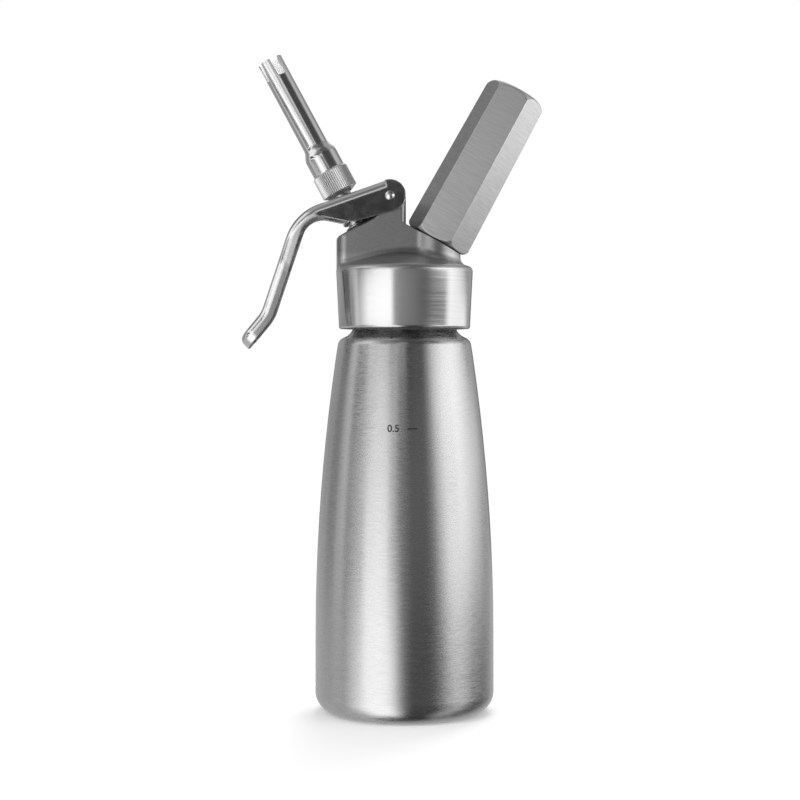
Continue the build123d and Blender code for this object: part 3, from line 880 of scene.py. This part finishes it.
@dataclass
class FillMark:
    """A plain mark on the bottle's front: a number for half a litre and a tick at the fill height."""

    height: float = 122.8
    number: str = "0.5"
    number_end: float = -2.1
    number_size: float = 4.2
    number_weight: float = 0.07
    tick_start: float = 1.2
    tick_end: float = 5.4
    tick_width: float = 0.65
    strip: float = 0.8
    proud: float = 0.025
    sunk: float = 0.06
    reach: float = 60.0

    def flat_number(self) -> bmesh.types.BMesh:
        """Returns the number as a flat mesh, X to the right and Y up, in metres."""
        curve = bpy.data.curves.new("fill_number", "FONT")
        curve.body = self.number
        curve.size = self.number_size * MM
        curve.offset = self.number_weight * MM
        curve.align_x = "RIGHT"
        curve.align_y = "CENTER"
        words = bpy.data.objects.new("fill_number", curve)
        bpy.context.scene.collection.objects.link(words)
        bpy.context.view_layer.update()
        data = bpy.data.meshes.new_from_object(words)
        mesh = bmesh.new()
        mesh.from_mesh(data)
        bmesh.ops.translate(mesh, vec=(self.number_end * MM, 0, 0), verts=mesh.verts)
        bpy.data.objects.remove(words)
        bpy.data.curves.remove(curve)
        bpy.data.meshes.remove(data)
        return mesh

    def flat_tick(self) -> bmesh.types.BMesh:
        """Returns the tick as a flat mesh, X to the right and Y up, in metres."""
        mesh = bmesh.new()
        bmesh.ops.create_grid(mesh, x_segments=1, y_segments=1, size=0.5)
        bmesh.ops.scale(
            mesh, vec=((self.tick_end - self.tick_start) * MM, self.tick_width * MM, 1), verts=mesh.verts
        )
        bmesh.ops.translate(mesh, vec=((self.tick_start + self.tick_end) / 2 * MM, 0, 0), verts=mesh.verts)
        return mesh

    def wrap(self, mesh: bmesh.types.BMesh, bottle: bpy.types.Object) -> None:
        """Cuts a flat mesh in narrow strips, lays it on the bottle and gives it a little thickness.

        Args:
            mesh: flat mesh in metres.
            bottle: the bottle's CAD object.
        """
        left = min(vert.co.x for vert in mesh.verts)
        right = max(vert.co.x for vert in mesh.verts)
        for cut in range(1, math.ceil((right - left) / (self.strip * MM))):
            bmesh.ops.bisect_plane(
                mesh,
                geom=[*mesh.verts, *mesh.edges, *mesh.faces],
                plane_co=(left + cut * self.strip * MM, 0, 0),
                plane_no=(1, 0, 0),
            )
        raised = bmesh.ops.extrude_face_region(mesh, geom=mesh.faces[:])["geom"]
        top = {item for item in raised if isinstance(item, bmesh.types.BMVert)}
        middle = bottle.ray_cast((0, -self.reach * MM, self.height * MM), (0, 1, 0))[1]
        for vert in mesh.verts:
            turn = vert.co.x / -middle.y
            outward = Vector((math.sin(turn), -math.cos(turn), 0))
            level = Vector((0, 0, self.height * MM + vert.co.y))
            _, skin, _, _ = bottle.ray_cast(level + outward * self.reach * MM, -outward)
            vert.co = skin + outward * (self.proud if vert in top else -self.sunk) * MM

    def build(self, bottle: bpy.types.Object) -> None:
        """Makes the number and the tick.

        Args:
            bottle: the bottle's CAD object.
        """
        for name, mesh in (("fill_number", self.flat_number()), ("fill_tick", self.flat_tick())):
            self.wrap(mesh, bottle)
            shown(mesh, name, ETCHED_STEEL, "bottle")


@dataclass
class ReturnSpring:
    """The valve's return spring: one wire with a closed turn at each end and open turns between."""

    coil_radius: float = 5.25
    wire: float = 1.1
    floor: float = 35.6
    top: float = 51.3045
    end_gap: float = 0.1
    end_turns: float = 0.75
    open_turns: float = 4.5
    closed_pitch: float = 1.2
    steps: int = 40
    sides: int = 14
    stroke: float = 2.96

    def build(self) -> None:
        """Winds the spring and shows it in place of the CAD spring."""
        mesh = bmesh.new()
        low = self.floor + self.end_gap + self.wire / 2
        start = Matrix.Translation((self.coil_radius * MM, 0, low * MM))
        made = bmesh.ops.create_circle(
            mesh,
            segments=self.sides,
            radius=self.wire / 2 * MM,
            matrix=start @ Matrix.Rotation(math.pi / 2, 4, "X"),
        )
        front = made["verts"] + list({edge for vert in made["verts"] for edge in vert.link_edges})
        climb = self.top - self.end_gap - self.wire / 2 - low
        end_climb = self.end_turns * self.closed_pitch
        stretches = [
            (self.end_turns, end_climb),
            (self.open_turns, climb - 2 * end_climb),
            (self.end_turns, end_climb),
        ]
        for turns, rise in stretches:
            count = round(turns * self.steps)
            wound = bmesh.ops.spin(
                mesh,
                geom=front,
                cent=(0, 0, 0),
                axis=(0, 0, 1),
                dvec=(0, 0, rise * MM / count),
                angle=math.tau * turns,
                steps=count,
            )
            front = wound["geom_last"]
        bmesh.ops.holes_fill(mesh, edges=[edge for edge in mesh.edges if edge.is_boundary])
        frame = Axis.VALVE.matrix()
        bmesh.ops.transform(mesh, matrix=frame, verts=mesh.verts)
        spring = shown(mesh, "coil_spring", VALVE_STEEL, "head")
        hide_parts("return_spring")
        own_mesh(spring)


@dataclass
class Bottle:
    """The drawn bottle with its screwed neck and fill mark."""

    neck_thread: ScrewThread = ScrewThread(
        "neck_thread",
        Axis.BOTTLE,
        shank=22.0,
        start=171.4,
        turns=2.4,
        lead=4.0,
        height=0.32,
        root=2.4,
        crest=0.9,
        steps=96,
    )

    def build(self, nodes: dict[str, bpy.types.Object]) -> None:
        """Dresses the bottle and its gasket and adds the thread and the mark.

        Args:
            nodes: the frame's nodes.
        """
        dress(nodes, BOTTLE_STEEL, "bottle")
        dress(nodes, SEAL_SILICONE, "head_gasket")
        self.neck_thread.build(BOTTLE_STEEL, "bottle", "bottle_steel")
        FillMark().build(nodes["bottle"])


@dataclass
class Head:
    """The cast head with its lever, pin and gas inlet."""

    stub_thread: ScrewThread = ScrewThread(
        "stub_thread",
        Axis.CHARGER,
        shank=10.2,
        start=30.2,
        turns=4.0,
        lead=1.5,
        height=0.16,
        root=1.1,
        crest=0.35,
        steps=64,
    )

    def build(self, nodes: dict[str, bpy.types.Object]) -> None:
        """Dresses the head's pieces and adds the thread that the charger holder screws on.

        Args:
            nodes: the frame's nodes.
        """
        dress(nodes, HEAD_ALUMINIUM, "head_casting")
        dress(nodes, LEVER_STEEL, "lever", "lever_pin")
        dress(nodes, INLET_BRASS, "piercing_pin", "inlet_retainer")
        dress(nodes, SEAL_RUBBER, "pin_o_ring", "charger_seal", "check_valve")
        dress(nodes, HOLDER_ALUMINIUM, "charger_holder")
        self.stub_thread.build(HEAD_ALUMINIUM, "head", "cast_aluminium")


@dataclass
class Valve:
    """The lever valve: stem, nut, spring, seals, and the decorator tip on the stem's end."""

    stem_thread: ScrewThread = ScrewThread(
        "stem_thread",
        Axis.VALVE,
        shank=4.0,
        start=59.4,
        turns=3.5,
        lead=1.25,
        height=0.16,
        root=0.9,
        crest=0.3,
        steps=40,
    )

    def build(self, nodes: dict[str, bpy.types.Object]) -> None:
        """Dresses the valve's pieces and adds the spring and the stem's thread.

        Args:
            nodes: the frame's nodes.
        """
        dress(nodes, VALVE_STEEL, "valve_piston", "thrust_nut")
        dress(nodes, BUSH_ACETAL, "guide_bush")
        dress(nodes, SEAL_SILICONE, "piston_seal", "tip_gasket")
        dress(nodes, SEAL_RUBBER, "piston_o_ring")
        dress(nodes, RING_ALUMINIUM, "tip_ring")
        dress(nodes, TIP_STEEL, "tip_tube")
        ReturnSpring().build()
        self.stem_thread.build(VALVE_STEEL, "piston", "turned_steel")


@dataclass(frozen=True)
class Card:
    """A panel that stands round the object: a white one is lit and a black one keeps light off.

    Its sides fade in over the degrees of rise and out over those of fall, counted round the object from the
    camera and positive to its right. Its lower and upper edges fade over the millimetres of low and high.
    Without these it goes all the way round, or all the way down or up.
    """

    name: str
    light: float
    rise: tuple[float, float] = (-200.0, -190.0)
    fall: tuple[float, float] = (190.0, 200.0)
    low: tuple[float, float] = (-3000.0, -2900.0)
    high: tuple[float, float] = (900.0, 1000.0)

    def over(self, tree: Tree, tone: float | Socket, turn: Socket, height: Socket) -> Socket:
        """Hangs the panel in front of those before it.

        Args:
            tree: node tree of the cards.
            tone: how bright the panels behind it are.
            turn: degrees round the object.
            height: millimetres above the floor.

        Returns:
            How bright the panels are with this one.
        """
        share: float | Socket = 1.0
        for place, fade, opens in (
            (turn, self.rise, True),
            (turn, self.fall, False),
            (height, self.low, True),
            (height, self.high, False),
        ):
            ends = (0.0, share) if opens else (share, 0.0)
            edge = add_node(
                tree,
                "ShaderNodeMapRange",
                {
                    "Value": place,
                    "From Min": fade[0],
                    "From Max": fade[1],
                    "To Min": ends[0],
                    "To Max": ends[1],
                },
            )
            share = edge.outputs["Result"]
        mixed = add_node(
            tree,
            "ShaderNodeMapRange",
            {"Value": share, "To Min": tone, "To Max": self.light},
            label=self.name,
        )
        return mixed.outputs["Result"]


# Heights at which the collar mirrors the panels
COLLAR_BAND = {"low": (100.0, 130.0), "high": (160.0, 190.0)}
# Heights at which the bottle's foot mirrors them
NEAR_FLOOR = {"high": (-5.0, 25.0)}
# In the order in which they are hung: a panel hides what earlier ones show at its place
CARDS = (
    Card("left_strip", 0.65, (-104, -98), (-88, -82)),
    Card("left_far_flag", 0.28, (-128, -120), (-108, -102)),
    Card("left_flag", 0.03, (-87, -81), (-60, -48), low=(30, 70)),
    Card("left_softbox", 1.0, (-56, -32), (-24, -6)),
    Card("left_softbox_top", 0.15, (-56, -32), (-24, -6), low=(170, 240)),
    Card("front_flag", 0.16, (-18, -6), (28, 44)),
    Card("right_softbox", 2.2, (38, 58), (66, 126)),
    Card("right_softbox_top", 2.0, (30, 50), (66, 126), low=(220, 290)),
    Card("back_flag_left", 0.1, fall=(-170, -158)),
    Card("back_flag_right", 0.1, rise=(150, 166)),
    Card("collar_left_edge", 0.36, (-160, -150), (-98, -88), **COLLAR_BAND),
    Card("collar_left_panel", 1.85, (-98, -62), (-24, -15), **COLLAR_BAND),
    Card("collar_grey", 0.46, (-22, -13), (72, 86), **COLLAR_BAND),
    Card("collar_flag", 0.16, (-12, 32), (60, 82), **COLLAR_BAND),
    Card("collar_right_panel", 1.45, (70, 92), (124, 142), **COLLAR_BAND),
    Card("floor_grey", 0.55, **NEAR_FLOOR),
    Card("floor_left_panel", 1.7, (-82, -48), (-20, 0), **NEAR_FLOOR),
    Card("floor_flag", 0.08, (-12, 8), (46, 68), **NEAR_FLOOR),
    Card("tip_panel", 1.6, (-56, -48), (-30, -20), low=(-30, 0), high=(60, 95)),
    Card("floor_right_flag", 0.12, (78, 98), (118, 150), high=(-60, -20)),
    Card("foot_flag", 0.05, high=(-1650, -1450)),
    Card("top_grey", 0.22, low=(380, 440)),
    Card("top_left_panel", 1.25, (-104, -92), (-64, -52), low=(330, 360), high=(480, 540)),
    Card("lever_panel", 1.5, (-66, -58), (-28, -20), low=(262, 285), high=(340, 360)),
    Card("lever_low_panel", 1.3, (-48, -40), (-12, -8), low=(205, 220), high=(255, 272)),
    Card("lever_flag", 0.03, (-11, -7), (8, 18), low=(215, 235), high=(315, 335)),
    Card("top_left_strip", 1.1, (-100, -86), (-62, -40), low=(470, 510)),
    Card("top_flag", 0.07, (-2, 6), (54, 84), low=(330, 400)),
    Card("holder_panel", 0.85, (-18, -12), (0, 6), low=(320, 338), high=(440, 480)),
    Card("top_right_panel", 0.6, (66, 84), (104, 150), low=(380, 440)),
    Card("top_back_left", 0.9, fall=(-172, -160), low=(480, 560)),
    Card("top_back_right", 0.9, rise=(150, 165), low=(480, 560)),
    Card("ceiling_grey", 0.4, low=(840, 848)),
    Card("ceiling_flag", 0.12, (-40, -26), (54, 84), low=(840, 848)),
)


@dataclass(frozen=True)
class Lamp:
    """A soft square lamp that no mirror shows: place and width in millimetres, power in watts."""

    name: str
    place: tuple[float, float, float]
    width: float
    power: float


LAMPS = (
    Lamp("left_lamp", (-900.0, -900.0, 1300.0), 900.0, 7.0),
    Lamp("right_lamp", (1100.0, -500.0, 1100.0), 900.0, 5.0),
    Lamp("back_lamp", (250.0, 1000.0, 1200.0), 800.0, 14.0),
)


@dataclass
class Studio:
    """A white room: pale floor, soft lamps, grey and white cards round the metal, and the camera."""

    camera_distance: float = 791.0
    camera_height: float = 147.9
    focal_pixels: float = 1828.5
    centre_column: float = 404.5
    horizon_row: float = 368.2
    sensor: float = 36.0
    clip_near: float = 50.0
    clip_far: float = 20000.0
    room_light: float = 0.8
    room_seen: float = 1.0
    floor_half: float = 3000.0
    floor_near: float = 60.0
    floor_far: float = 400.0
    floor_near_glow: float = 0.2
    floor_far_glow: float = 1.0
    card_radius: float = 600.0
    card_bottom: float = -1700.0
    card_top: float = 850.0
    card_grey: float = 0.45
    card_sides: int = 96
    lamp_aim: float = 120.0
    reflections: int = 10

    def room(self) -> None:
        """Makes the surroundings: white to the eye, and a little dimmer as a light."""
        world = bpy.data.worlds.new("white_room")
        bpy.context.scene.world = world
        world.use_nodes = True
        tree = world.node_tree
        tree.nodes.clear()
        path = add_node(tree, "ShaderNodeLightPath")
        level = add_node(
            tree,
            "ShaderNodeMapRange",
            {"Value": path.outputs["Is Camera Ray"], "To Min": self.room_light, "To Max": self.room_seen},
        )
        light = add_node(
            tree, "ShaderNodeBackground", {"Color": linear("#FFFFFF"), "Strength": level.outputs["Result"]}
        )
        add_node(tree, "ShaderNodeOutputWorld", {"Surface": light.outputs["Background"]})

    def floor(self) -> None:
        """Lays the pale floor. It glows for the eye, so that it is white, and still takes the shadow."""
        mesh = bmesh.new()
        bmesh.ops.create_grid(mesh, x_segments=1, y_segments=1, size=self.floor_half * MM)
        data = bpy.data.meshes.new("floor")
        mesh.to_mesh(data)
        mesh.free()
        floor = bpy.data.objects.new("floor", data)
        bpy.context.scene.collection.objects.link(floor)
        floor.visible_glossy = False
        material = bpy.data.materials.new("white_paper")
        material.use_nodes = True
        tree = material.node_tree
        tree.nodes.clear()
        paper = add_node(tree, "ShaderNodeBsdfDiffuse", {"Color": linear("#F4F4F4")})
        glow = add_node(tree, "ShaderNodeEmission", {"Color": linear("#FFFFFF"), "Strength": 1.0})
        place = add_node(tree, "ShaderNodeTexCoord")
        away = add_node(tree, "ShaderNodeVectorMath", {0: place.outputs["Object"]}, operation="LENGTH")
        glare = add_node(
            tree,
            "ShaderNodeMapRange",
            {
                "Value": away.outputs["Value"],
                "From Min": self.floor_near * MM,
                "From Max": self.floor_far * MM,
                "To Min": self.floor_near_glow,
                "To Max": self.floor_far_glow,
            },
        )
        path = add_node(tree, "ShaderNodeLightPath")
        share = add_node(
            tree,
            "ShaderNodeMath",
            {0: path.outputs["Is Camera Ray"], 1: glare.outputs["Result"]},
            operation="MULTIPLY",
        )
        mixed = add_node(
            tree,
            "ShaderNodeMixShader",
            {0: share.outputs["Value"], 1: paper.outputs["BSDF"], 2: glow.outputs["Emission"]},
        )
        add_node(tree, "ShaderNodeOutputMaterial", {"Surface": mixed.outputs["Shader"]})
        data.materials.append(material)

    def cards(self) -> None:
        """Stands a ring of cards round the object, which only the metal sees."""
        mesh = bmesh.new()
        bmesh.ops.create_cone(
            mesh,
            cap_ends=True,
            segments=self.card_sides,
            radius1=self.card_radius * MM,
            radius2=self.card_radius * MM,
            depth=(self.card_top - self.card_bottom) * MM,
            matrix=Matrix.Translation((0, 0, (self.card_top + self.card_bottom) / 2 * MM)),
        )
        data = bpy.data.meshes.new("cards")
        mesh.to_mesh(data)
        mesh.free()
        cards = bpy.data.objects.new("cards", data)
        bpy.context.scene.collection.objects.link(cards)
        cards.visible_camera = False
        cards.visible_diffuse = False
        cards.visible_shadow = False
        cards.visible_transmission = False
        material = bpy.data.materials.new("grey_cards")
        material.use_nodes = True
        tree = material.node_tree
        tree.nodes.clear()
        place = add_node(tree, "ShaderNodeTexCoord")
        parts = add_node(tree, "ShaderNodeSeparateXYZ", {"Vector": place.outputs["Object"]})
        front = add_node(tree, "ShaderNodeMath", {0: parts.outputs["Y"], 1: -1.0}, operation="MULTIPLY")
        angle = add_node(
            tree, "ShaderNodeMath", {0: parts.outputs["X"], 1: front.outputs["Value"]}, operation="ARCTAN2"
        )
        turn = add_node(tree, "ShaderNodeMath", {0: angle.outputs["Value"]}, operation="DEGREES")
        height = add_node(tree, "ShaderNodeMath", {0: parts.outputs["Z"], 1: MM}, operation="DIVIDE")
        tone: float | Socket = self.card_grey
        for card in CARDS:
            tone = card.over(tree, tone, turn.outputs["Value"], height.outputs["Value"])
        glow = add_node(tree, "ShaderNodeEmission", {"Strength": tone})
        add_node(tree, "ShaderNodeOutputMaterial", {"Surface": glow.outputs["Emission"]})
        data.materials.append(material)

    def lamps(self) -> None:
        """Hangs soft lamps for the floor's shadow and the seals."""
        aim = Vector((0, 0, self.lamp_aim * MM))
        for lamp in LAMPS:
            data = bpy.data.lights.new(lamp.name, "AREA")
            data.size = lamp.width * MM
            data.energy = lamp.power
            hung = bpy.data.objects.new(lamp.name, data)
            hung.location = Vector(lamp.place) * MM
            hung.rotation_euler = (aim - hung.location).to_track_quat("-Z", "Y").to_euler()
            hung.visible_camera = False
            hung.visible_glossy = False
            bpy.context.scene.collection.objects.link(hung)

    def camera(self) -> None:
        """Sets the camera where the photograph was taken, level and in front."""
        data = bpy.data.cameras.new("camera")
        data.sensor_width = self.sensor
        data.lens = self.focal_pixels / PIXELS * self.sensor
        data.shift_x = (PIXELS / 2 - self.centre_column) / PIXELS
        data.shift_y = (self.horizon_row - PIXELS / 2) / PIXELS
        data.clip_start = self.clip_near * MM
        data.clip_end = self.clip_far * MM
        camera = bpy.data.objects.new("camera", data)
        camera.location = (0, -self.camera_distance * MM, self.camera_height * MM)
        camera.rotation_euler = (math.pi / 2, 0, 0)
        bpy.context.scene.collection.objects.link(camera)
        bpy.context.scene.camera = camera

    def build(self) -> None:
        """Sets up the room, the floor, the cards, the lamps and the camera."""
        bpy.context.scene.view_settings.view_transform = "Standard"
        bpy.context.scene.cycles.glossy_bounces = self.reflections
        self.room()
        self.floor()
        self.cards()
        self.lamps()
        self.camera()


def main() -> None:
    """Builds the whipper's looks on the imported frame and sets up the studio."""
    logging.basicConfig(level=logging.INFO, format="%(name)s: %(message)s")
    for start in list(bpy.data.objects):
        bpy.data.objects.remove(start)
    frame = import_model()
    for assembly in (Bottle(), Head(), Valve()):
        assembly.build(frame["nodes"])
    Studio().build()


if __name__ == "__main__":
    main()
